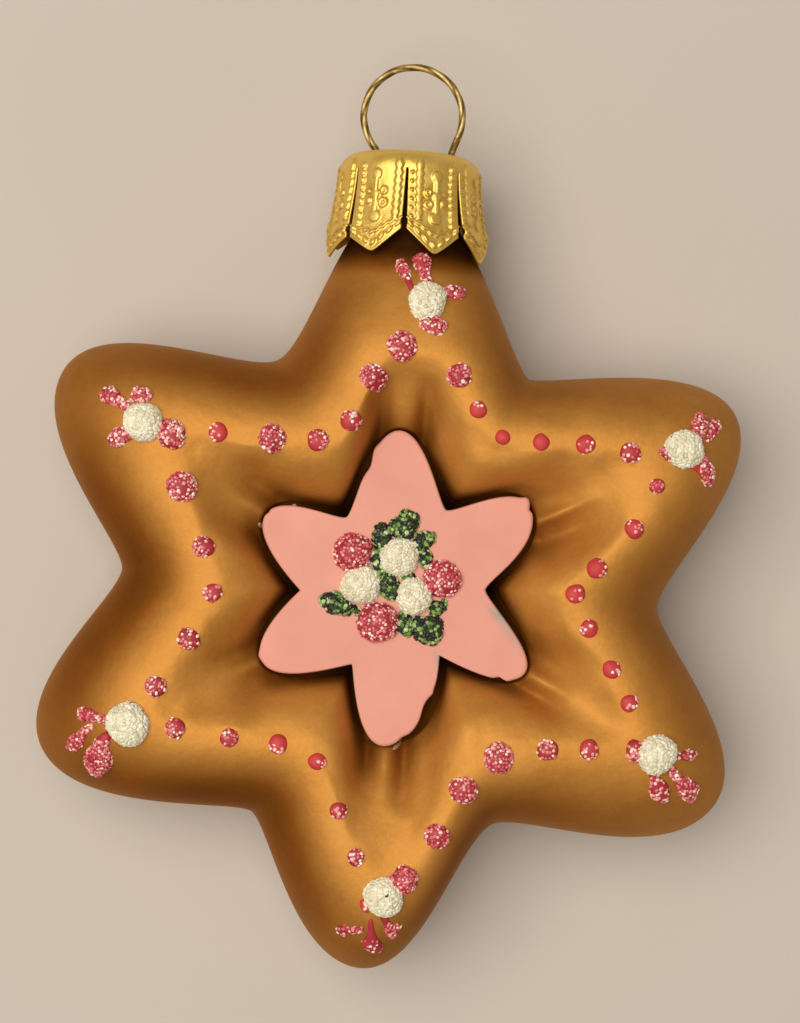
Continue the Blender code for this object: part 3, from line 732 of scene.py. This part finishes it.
def on_surface(tree, spots_x, spots_y):
    """Where lines down at these places meet the surface, and its normals there."""
    places, normals = [], []
    for x, y in zip(spots_x, spots_y):
        hit, normal, _, _ = tree.ray_cast((x, y, 0.1), (0, 0, -1))
        places.append(hit)
        normals.append(normal)
    return np.array(places), np.array(normals)


def unit_ball(sides, rows):
    """Points of the unit ball from pole to pole and its faces."""
    turn = full_turn(sides)
    rings = [
        np.column_stack((
            math.cos(angle) * np.cos(turn),
            math.cos(angle) * np.sin(turn),
            np.full(sides, math.sin(angle)),
        ))
        for angle in np.linspace(-math.pi / 2, math.pi / 2, rows)[1:-1]
    ]
    return closed_tube(rings, (0, 0, -1), (0, 0, 1))


def drop_width(u, fat, thin):
    """The width of a drop, as a share of its full width, at u: -1 at its tail, 1 at its tip."""
    middle = 1 - fat
    head = np.sqrt(np.clip(1 - ((u - middle) / fat) ** 2, 0, 1))
    widening = thin + (1 - thin) * np.clip((u + 1) / (1 + middle), 0, 1) ** 3
    tail = np.where(u < middle, widening * np.sqrt(np.clip((u + 1) / 0.2, 0, 1)), 0)
    return np.maximum(head, tail)


def ends_of(x, y, length, degrees):
    """The two ends of a dab at this place, of this length and direction."""
    turn = math.radians(degrees)
    reach = length * MM / 2 * np.array((math.cos(turn), math.sin(turn)))
    middle = np.array((x, y)) * MM
    return middle - reach, middle + reach


class Dabs:
    """Dabs of one kind of icing, joined in one piece, and the places where grains lie on them.
    A dab's width is in millimetres, its rise is a share of that, and its cover is the share of
    it that glitter covers."""

    def __init__(self, rng, sides, rows, grain_pitch, uneven):
        self.rng = rng
        self.unit, self.faces = unit_ball(sides, rows)
        self.grain_pitch = grain_pitch
        self.uneven = uneven
        self.points, self.shades, self.grains = [], [], []

    def add(self, tree, tail, tip, width, rise, cover, fat=1.0, thin=0.0, bare=0.0):
        """A drop of icing from tail to tip, draped over the surface, with its grains. It
        returns the function that lays points of the unit ball on the drop."""
        width *= MM
        rise *= width
        length = np.linalg.norm(tip - tail)
        along = (tip - tail) / length
        across = np.array((-along[1], along[0]))
        phases = self.rng.uniform(0, 2 * math.pi, 4)

        def laid(unit):
            around = np.arctan2(unit[:, 1], unit[:, 0])
            wobble = 1 + self.uneven * sum(
                np.sin((k + 2) * around + phase) / (k + 2) for k, phase in enumerate(phases)
            )
            girth = np.maximum(np.hypot(unit[:, 1], unit[:, 2]), 1e-6)
            share = drop_width(unit[:, 0], fat, thin) / girth
            out = unit[:, 0] * wobble * length / 2
            aside = unit[:, 1] * wobble * share * width / 2
            spots = (tail + tip) / 2 + out[:, None] * along + aside[:, None] * across
            places, normals = on_surface(tree, *spots.T)
            lift = np.where(unit[:, 2] > 0, 1.0, 0.35) * unit[:, 2] * rise * share
            slope = normalized(unit / (length / 2, width / 2, rise))
            sideways = slope[:, :1] * along + slope[:, 1:2] * across
            outward = normals * np.abs(slope[:, 2:]) + np.column_stack((sideways, 0 * lift))
            return places + normals * lift[:, None], outward

        self.points.append(laid(self.unit)[0])
        # Painted shade between the grains: a dab is darker the more of it the glitter covers.
        self.shades.append(np.full(len(self.unit), smooth(cover, 0, 0.6)))
        # About the area that grains can lie on.
        area = math.pi * length * width / 4 * (1 + 2 * rise / width) * (fat + (1 - fat) * thin)
        count = int(area / self.grain_pitch**2)
        if cover and count:
            unit = self.spread(count)
            lean = np.array((*self.rng.normal(0, 0.4, 2), 1.0))
            order = np.argsort(self.rng.uniform(0, 1, count) - (1 - cover) * (unit @ lean))
            unit = unit[order[: round(cover * count)]]
            unit = unit[unit[:, 0] > 2 * bare - 1]
            if len(unit):
                self.grains.append((*laid(unit), max(0.0, 0.75 - cover)))
        return laid

    def ball(self, tree, x, y, diameter, rise, cover):
        """A round dab over the place (x, y)."""
        return self.add(tree, *ends_of(x, y, diameter, 0), diameter, rise, cover)

    def spread(self, count):
        """Places spread evenly, but not too neatly, over the top of the unit ball."""
        index = np.arange(count) + 0.5
        rise = 1.0 - 1.08 * index / count
        turn = index * math.pi * (1 + math.sqrt(5)) + self.rng.uniform(0, 2 * math.pi)
        flat = np.sqrt(1 - rise**2)
        unit = np.column_stack((flat * np.cos(turn), flat * np.sin(turn), rise))
        unit += self.rng.normal(0, 0.35 / math.sqrt(count), unit.shape)
        return normalized(unit)

    def piece(self, name, material, slot):
        """All the dabs as one piece."""
        count = len(self.unit)
        faces = [
            [corner + count * index for corner in face]
            for index in range(len(self.points))
            for face in self.faces
        ]
        shades = np.concatenate(self.shades)
        new_piece(name, np.concatenate(self.points), faces, material, shades)


def icosahedron():
    """Points and faces of the regular solid of 20 sides in the unit ball."""
    golden = (1 + math.sqrt(5)) / 2
    points = []
    for a in (-1, 1):
        for b in (-golden, golden):
            points += [(0, a, b), (a, b, 0), (b, 0, a)]
    points = np.array(points) / math.hypot(1, golden)
    edge = 2 / math.hypot(1, golden) + 1e-6
    near = np.linalg.norm(points[:, None] - points[None], axis=2) < edge
    faces = []
    for i, j, k in itertools.combinations(range(len(points)), 3):
        if near[i, j] and near[j, k] and near[i, k]:
            out = np.cross(points[j] - points[i], points[k] - points[i]) @ points[i] > 0
            faces.append((i, j, k) if out else (i, k, j))
    return points, np.array(faces)


def build_grains(name, dabs, sizes, material, rng):
    """Flat faceted grains of glitter joined in one piece. Each has a shade of its own, and
    those on sparsely strewn dabs are pale."""
    centres = np.concatenate([places for places, _, _ in dabs])
    normals = np.concatenate([outward for _, outward, _ in dabs])
    least = np.concatenate([np.full(len(places), pale) for places, _, pale in dabs])
    unit, unit_faces = icosahedron()
    count = len(centres)
    up = normalized(normals + rng.normal(0, GRAIN_TILT, (count, 3)))
    aside = normalized(np.cross(up, rng.normal(size=(count, 3))))
    turns = np.stack((aside, np.cross(up, aside), up), axis=2)
    stretch = rng.uniform(0.8, 1.15, (count, 1, 3)) * (1, 1, GRAIN_FLATNESS)
    radius = rng.uniform(*sizes, (count, 1, 1)) / 2
    points = centres[:, None] + np.einsum("nij,nkj->nki", turns, unit * stretch * radius)
    faces = unit_faces + (np.arange(count) * len(unit))[:, None, None]
    shades = np.repeat(rng.uniform(least, 1), len(unit))
    points, faces = points.reshape(-1, 3), faces.reshape(-1, 3).tolist()
    new_piece(name, points, faces, material, shades, smooth_shading=False)


def add_flowers(white, petal, green, tree):
    """The flower on each arm, and the dark specks on the flowers' middles."""
    middles = []
    for x, y, diameter, petals in FLOWERS:
        middles.append(white.ball(tree, x, y, diameter, BALL_RISE, 1.0))
        for tail, tip, width, fat, thin, bare, cover in petals:
            ends = (np.array((x, y)) + (tail, tip)) * MM
            petal.add(tree, *ends, width, LEAF_RISE, cover, fat, thin, bare)
    for index, degrees, far in SPECKS:
        turn = math.radians(degrees)
        place = (far * math.cos(turn), far * math.sin(turn), math.sqrt(1 - far**2))
        green.grains.append((*middles[index](np.array([place])), 0.0))


def add_posy(red, white, green, tree):
    for x, y, diameter in RED_BALLS:
        red.ball(tree, x, y, diameter, BALL_RISE, RED_COVER)
    for x, y, diameter in WHITE_BALLS:
        white.ball(tree, x, y, diameter, BALL_RISE, 1.0)
    for x, y, length, width, degrees in LEAVES:
        green.add(tree, *ends_of(x, y, length, degrees), width, LEAF_RISE, LEAF_COVER)


def build_decoration(body_tree, icing_tree):
    """All the dots, petals, balls, leaves and flakes, and the glitter on them."""
    rng = np.random.default_rng(SEED)
    red, petal, posy_red, white, green, flakes = (Dabs(rng, *kind) for kind in DAB_KINDS)
    dots = loop_points(CREST_KNOTS, [place for place, _, _ in CREST_DOTS])
    for (x, y), (_, diameter, cover) in zip(dots / MM, CREST_DOTS):
        red.ball(body_tree, x, y, diameter - DOT_GLITTER * cover, DOT_RISE, cover)
    add_flowers(white, petal, green, body_tree)
    add_posy(posy_red, white, green, icing_tree)
    for x, y, length, width, degrees in FLAKES:
        flakes.add(body_tree, *ends_of(x, y, length, degrees), width, FLAKE_RISE / width, 0)
    enamel = enamel_material()
    red.piece("red_dots", enamel, "glass_star")
    petal.piece("red_petals", enamel, "glass_star")
    posy_red.piece("posy_red_balls", enamel, "pink_star")
    sugar = grainy_material("white_icing", (0.70, 0.65, 0.46), (0.80, 0.75, 0.56), 0.1 * MM)
    white.piece("white_balls", sugar, "glass_star")
    moss = grainy_material("green_icing", (0.008, 0.016, 0.003), (0.05, 0.11, 0.018), 0.1 * MM)
    green.piece("posy_leaves", moss, "pink_star")
    salmon = grainy_material("paint_flake", (0.52, 0.36, 0.25), (0.62, 0.46, 0.34), 0.03 * MM)
    flakes.piece("paint_flakes", salmon, "pink_star")
    pink = glitter_material("pink_glitter", (
        (0.0, (0.46, 0.035, 0.055)), (0.4, (0.66, 0.12, 0.14)), (0.68, (0.80, 0.31, 0.29)),
        (0.85, (0.90, 0.60, 0.52)), (1.0, (0.97, 0.90, 0.78))), 0.35)
    cream = glitter_material("white_glitter", (
        (0.0, (0.64, 0.58, 0.39)), (0.3, (0.76, 0.71, 0.50)), (1.0, (0.90, 0.86, 0.70))), 0.5)
    leafy = glitter_material("green_glitter", (
        (0.0, (0.002, 0.004, 0.002)), (0.46, (0.005, 0.01, 0.004)), (0.5, (0.09, 0.19, 0.025)),
        (0.82, (0.25, 0.42, 0.08)), (1.0, (0.60, 0.66, 0.36))), 0.45)
    reds = red.grains + petal.grains + posy_red.grains
    build_grains("pink_glitter", reds, PINK_GRAINS, pink, rng)
    build_grains("white_glitter", white.grains, WHITE_GRAINS, cream, rng)
    build_grains("green_glitter", green.grains, GREEN_GRAINS, leafy, rng)


# ---- cap and ring


def raised(distance, half_width):
    """A low dome of height 1 with steep sides, by the distance from its middle."""
    dome = np.sqrt(np.clip(1 - (distance / half_width) ** 2, 0, 1))
    return smooth(half_width - distance, 0, 0.19) * (0.55 + 0.45 * dome)


def bead(aside, down, at_aside, at_down, radius):
    """A round bump."""
    return raised(np.hypot(aside - at_aside, down - at_down), radius)


def bead_row(aside, down, at_aside, first, last, pitch, radius):
    """A vertical row of beads."""
    places = np.arange(first, last + 1e-9, pitch)
    return np.maximum.reduce([bead(aside, down, at_aside, place, radius) for place in places])


def bar(aside, down, at_aside, start, end, half_width):
    """A round-ended bar, straight down from start to end."""
    beyond = np.maximum(start - down, 0) + np.maximum(down - end, 0)
    return raised(np.hypot(aside - at_aside, beyond), half_width)


def curl(aside, down, at_aside, at_down, radius, half_width):
    """A ring-shaped scroll."""
    distance = np.abs(np.hypot(aside - at_aside, down - at_down) - radius)
    return raised(distance, half_width)


def tab_relief(aside, down, end, mirrored):
    """The pressed pattern of a tab, in units of its full height. End is how far down the tab's
    edge is at this place. On the mirrored tabs the scalloped bar stands clear of the slit, with
    small studs between them."""
    to_edge = end - down
    bar_aside = np.where(mirrored, 1.75, 2.25)
    scallop = 0.46 + 0.08 * np.cos(down * 2 * math.pi / 0.85)
    shapes = [
        bar(aside, down, bar_aside, 0.5, 6.4, scallop),
        0.7 * mirrored * bead_row(aside, down, 2.58, 1.6, 6.8, 0.95, 0.28),
        bead_row(aside, down, -2.2, 1.0, 7.4, 0.76, 0.45),
    ]
    for shape, places in ((bead, BEADS), (curl, CURLS), (bar, BARS)):
        shapes += [shape(aside, down, *place) for place in places]
    wave = 0.1 * np.cos(aside * 2 * math.pi / 0.75)
    shapes.append(0.9 * raised(np.abs(to_edge - 2.0 + 0.1 * aside**2 - wave), 0.24) * (down > 5.4))
    studs = np.hypot(to_edge - 0.85, 0.9 * (((aside + 0.45) / 0.9) % 1.0 - 0.5))
    shapes.append(raised(studs, 0.42) * (down > 5.8))
    return np.maximum.reduce(np.broadcast_arrays(*shapes))


def cap_profile():
    """Radius, level and outward normal of the cap's closed rows, middle of the top to slits."""
    rows = [(CAP_TOP_RADIUS * share, CAP_TOP_Y, 0.0, 1.0) for share in np.linspace(0.08, 1, 12)]
    for turn in np.linspace(0, math.pi / 2, 19)[1:]:
        radius = CAP_TOP_RADIUS + CAP_SHOULDER * math.sin(turn)
        level = CAP_TOP_Y - CAP_SHOULDER * (1 - math.cos(turn))
        rows.append((radius, level, math.sin(turn), math.cos(turn)))
    rows.append((CAP_TOP_RADIUS + CAP_SHOULDER, CAP_SLIT_Y, 1.0, 0.0))
    return rows


def tab_angles(level):
    """Angles of every tab's columns, level 0 at the top of the slits and 1 at the tabs' ends."""
    narrow, wide = SLIT_HALF_ANGLES
    slit = narrow + (wide - narrow) * level
    tab_angle = 360 / TAB_COUNT
    starts = np.arange(TAB_COUNT)[:, None] * tab_angle + CAP_TURN
    return np.radians(starts + slit + (tab_angle - 2 * slit) * TAB_SHARES).ravel()


def tab_ends():
    """How high the end of every tab's columns is, from mouth to tip to mouth, and how far out
    it flares."""
    ends = []
    for tab, (at, tip, _) in enumerate(CAP_TIPS):
        before = TAB_SHARES < at
        mouths = np.where(before, CAP_MOUTHS_Y[tab], CAP_MOUTHS_Y[(tab + 1) % TAB_COUNT])
        from_tip = np.abs(TAB_SHARES - at) / np.where(before, at, 1 - at)
        rounded = np.hypot(from_tip, CAP_TIP_ROUNDING) - CAP_TIP_ROUNDING
        full = math.hypot(1, CAP_TIP_ROUNDING) - CAP_TIP_ROUNDING
        ends.append(tip + (mouths - tip) * rounded / full)
    flares = np.repeat([flare for _, _, flare in CAP_TIPS], TAB_COLUMNS)
    return np.concatenate(ends) * MM, flares * MM


def build_cap(material):
    """The cap as one open embossed sheet with its tabs, given the thickness of the metal."""
    wall_radius = CAP_TOP_RADIUS + CAP_SHOULDER
    half_width = math.pi / TAB_COUNT * wall_radius / MM
    mirrored = np.repeat(np.arange(TAB_COUNT) < TAB_COUNT / 2, TAB_COLUMNS)
    asides = np.tile((2 * TAB_SHARES - 1) * half_width, TAB_COUNT) * np.where(mirrored, -1, 1)
    ends, flares = tab_ends()
    rows, shades = [], []

    def add_row(radians, radius, level, normal_out, normal_up):
        relief = tab_relief(asides, (RELIEF_TOP - level) / MM, (RELIEF_TOP - ends) / MM, mirrored)
        out = radius + RELIEF_HEIGHT * relief * normal_out
        up = level + RELIEF_HEIGHT * relief * normal_up
        rows.append(np.column_stack((
            CAP_X + out * np.sin(radians), up, RIM_Z + out * np.cos(radians)
        )))
        # Painted shade along the slopes of the pressed relief.
        shades.append(0.55 * np.exp(-(((relief - 0.35) / 0.22) ** 2)))

    full = np.ones_like(asides)
    for radius, level, normal_out, normal_up in cap_profile():
        add_row(tab_angles(0), radius, level * full, normal_out, normal_up)
    band_rows = len(rows)
    for share in np.linspace(0, 1, TAB_ROWS)[1:]:
        level = CAP_SLIT_Y - (CAP_SLIT_Y - ends) * share
        add_row(tab_angles(share), wall_radius + flares * share**1.5, level, 1.0, 0.0)
    count = len(asides)
    points = np.concatenate([*rows, [(CAP_X, CAP_TOP_Y, RIM_Z)]])
    quads = grid_faces(len(rows), count)
    corner = quads[:, 0]
    slits = (corner >= (band_rows - 1) * count) & (corner % TAB_COLUMNS == TAB_COLUMNS - 1)
    faces = quads[~slits][:, ::-1].tolist() + fan(len(rows) * count, range(count))
    cap = new_piece("gilt_cap", points, faces, material, np.concatenate([*shades, [0.0]]))
    sheet = cap.modifiers.new("sheet", "SOLIDIFY")
    sheet.thickness = CAP_SHEET
    sheet.offset = -1
    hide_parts("cap")


def ring_path():
    """Points along the hanging wire: a leg, most of a circle, and the other leg."""
    left, right = RING_LEG_ANGLES
    turns = np.radians(np.linspace(left, 360 - right, 180))
    arc = np.column_stack((-RING_RADIUS * np.sin(turns), RING_Y - RING_RADIUS * np.cos(turns)))
    legs = []
    for start, after, x in zip(arc[[0, -1]], arc[[1, -2]], RING_LEGS_X):
        slot = np.array((x, CAP_TOP_Y))
        lean, rise = normalized(start - after), normalized(start - slot)
        pull = np.linalg.norm(start - slot) / 3
        t = np.linspace(0, 1, 16)[1:, None]
        bend = bezier(start, start + lean * pull, slot + rise * pull, slot, t)
        inside = np.linspace(CAP_TOP_Y, RING_LEG_END_Y, 8)[1:]
        legs.append(np.concatenate((bend, [(x, y) for y in inside])))
    return np.concatenate((legs[0][::-1], arc, legs[1]))


def build_ring(material):
    """The hanging wire, whose lobes wind round it."""
    path = ring_path()
    tangent = normalized(np.gradient(path, axis=0))
    aside = np.column_stack((-tangent[:, 1], tangent[:, 0]))
    length = np.concatenate(([0], np.cumsum(np.linalg.norm(np.diff(path, axis=0), axis=1))))
    turn = full_turn(24)
    wave = np.cos(TWIST_LOBES * turn[None] - length[:, None] / TWIST_PITCH * 2 * math.pi)
    groove = 0.5 - 0.5 * wave
    radius = WIRE_RADIUS * (1 - TWIST_DEPTH * groove)
    across = radius * np.cos(turn)
    rings = np.stack((
        CAP_X + path[:, :1] + aside[:, :1] * across,
        path[:, 1:] + aside[:, 1:] * across,
        RIM_Z + radius * np.sin(turn),
    ), axis=-1)
    points, faces = closed_tube(rings, *((CAP_X + x, y, RIM_Z) for x, y in (path[0], path[-1])))
    # Painted shade in the grooves between the lobes of the twist.
    shades = np.concatenate([groove.ravel() ** 3, [0, 0]])
    ring = new_piece("twisted_ring", points, faces, material, shades)
    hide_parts("ring")


# ---- stage


def build_floor():
    """A plain pale floor, a little uneven in colour."""
    side = FLOOR_HALF_SIDE
    mesh = bpy.data.meshes.new("floor")
    corners = [(-side, -side, 0), (side, -side, 0), (side, side, 0), (-side, side, 0)]
    mesh.from_pydata(corners, [], [(0, 1, 2, 3)])
    material, tree = new_material("floor", Roughness=0.9)
    cloud = noise_factor(tree, 14, 2)
    feed(tree, "Base Color", cloudy(tree, cloud, (0.54, 0.483, 0.422), (0.57, 0.51, 0.447)))
    mesh.materials.append(material)
    floor = new_object("floor", mesh)


def build_light():
    light = bpy.data.lights.new("key_light", "AREA")
    light.shape = "DISK"
    light.size = KEY_SIZE
    light.energy = KEY_POWER
    light.color = KEY_COLOR
    lamp = new_object("key_light", light)
    lamp.location = KEY_PLACE
    lamp.rotation_euler = (-Vector(KEY_PLACE)).to_track_quat("-Z", "Y").to_euler()
    world = bpy.data.worlds.new("studio")
    world.use_nodes = True
    background = world.node_tree.nodes["Background"]
    background.inputs["Color"].default_value = WORLD_COLOR
    background.inputs["Strength"].default_value = WORLD_STRENGTH
    bpy.context.scene.world = world
    bpy.context.scene.view_settings.view_transform = "Standard"


def build_camera():
    data = bpy.data.cameras.new("camera")
    data.sensor_width = SENSOR
    data.lens = SENSOR * CAMERA_HEIGHT / VIEW_LENGTH
    data.clip_start = 0.01
    data.clip_end = 10
    camera = new_object("camera", data)
    place = Matrix.Translation((*CAMERA_SHIFT, RIM_Z + CAMERA_HEIGHT))
    camera.matrix_world = Matrix.Rotation(CAMERA_ROLL, 4, "Z") @ place
    bpy.context.scene.camera = camera


# ---- the scene

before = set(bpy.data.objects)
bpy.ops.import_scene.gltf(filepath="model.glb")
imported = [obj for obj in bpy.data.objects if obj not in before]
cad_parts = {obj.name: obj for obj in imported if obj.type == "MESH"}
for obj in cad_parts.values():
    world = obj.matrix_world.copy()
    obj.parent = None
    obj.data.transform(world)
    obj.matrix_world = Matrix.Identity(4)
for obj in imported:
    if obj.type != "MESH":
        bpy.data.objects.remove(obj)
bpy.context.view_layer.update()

lacquer = lacquer_material()
glass_tree = build_glass_body(lacquer)
build_neck(lacquer)
pink_tree = build_icing(icing_material())
build_decoration(glass_tree, pink_tree)
build_cap(brass_material())
build_ring(wire_material())
build_floor()
build_light()
build_camera()
